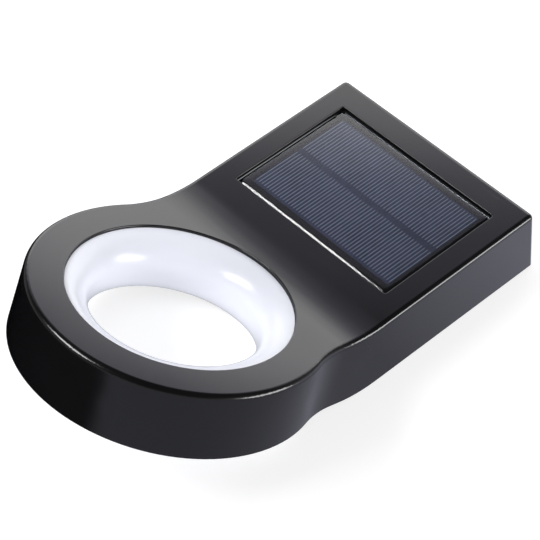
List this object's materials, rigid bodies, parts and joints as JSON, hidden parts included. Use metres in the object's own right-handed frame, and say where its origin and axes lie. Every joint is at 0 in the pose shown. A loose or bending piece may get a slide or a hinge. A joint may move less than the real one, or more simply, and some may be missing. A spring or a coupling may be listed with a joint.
{
  "type": "solar fence light",
  "caption": "Solar fence light: a black plate with a solar panel, bent up into a ring lined with an opal white bulge that glows, with a push button and keyholes on its back.",
  "frame": {"origin": "under the middle of the bounding box, on the plane of the plate's back", "axes": "+Z out of the plate's front, +Y from the ring to the plate's far end, +X across the plate"},
  "size_m": [0.1096, 0.1862, 0.0572],
  "materials": {
    "housing_black": "satin-gloss black ABS, lightly textured",
    "opal_white": "opal white, smooth",
    "panel_black": "black board",
    "cell_blue": "dark blue silicon with fine silver fingers",
    "clear_resin": "clear cast resin",
    "foam": "foam tape",
    "seal_rubber": "silicone rubber",
    "button_rubber": "matt black",
    "board_green": "green solder mask",
    "board_white": "white solder mask",
    "led_yellow": "phosphor lens",
    "chip_black": "moulded",
    "can_metal": "can",
    "coil_copper": "enamelled winding on ferrite",
    "screw_steel": "zinc plated",
    "contact_steel": "nickel plated",
    "holder_black": "matt",
    "battery_wrap": "plain shrink wrap",
    "switch_white": "matt",
    "lead_insulation": "insulated lead"
  },
  "bodies": {
    "case": {"front_housing": "housing_black", "back_cover": "housing_black", "cover_gasket": "seal_rubber", "opal_ring": "opal_white", "tube_seal": "seal_rubber", "cover_screws": "screw_steel", "led_board": "board_white", "leds": "led_yellow", "panel_pad": "foam", "panel_board": "panel_black", "solar_cells": "cell_blue", "panel_resin": "clear_resin", "control_board": "board_green", "control_chip": "chip_black", "boost_coil": "coil_copper", "capacitor": "can_metal", "board_screws": "screw_steel", "switch_body": "switch_white", "button_seal": "seal_rubber", "battery_holder": "holder_black", "battery_cell": "battery_wrap", "positive_contact": "contact_steel", "negative_contact": "contact_steel", "panel_leads": "lead_insulation", "led_leads": "lead_insulation", "battery_leads": "lead_insulation"},
    "button": {"power_button": "button_rubber", "switch_plunger": "switch_white"}
  },
  "joints": [
    {"name": "button_press", "type": "slide", "parent": "case", "child": "button", "axis": [0, 0, 1], "range_m": [0, 0.0012], "stiffness_N_per_m": 600, "springref_m": -0.0003}
  ]
}
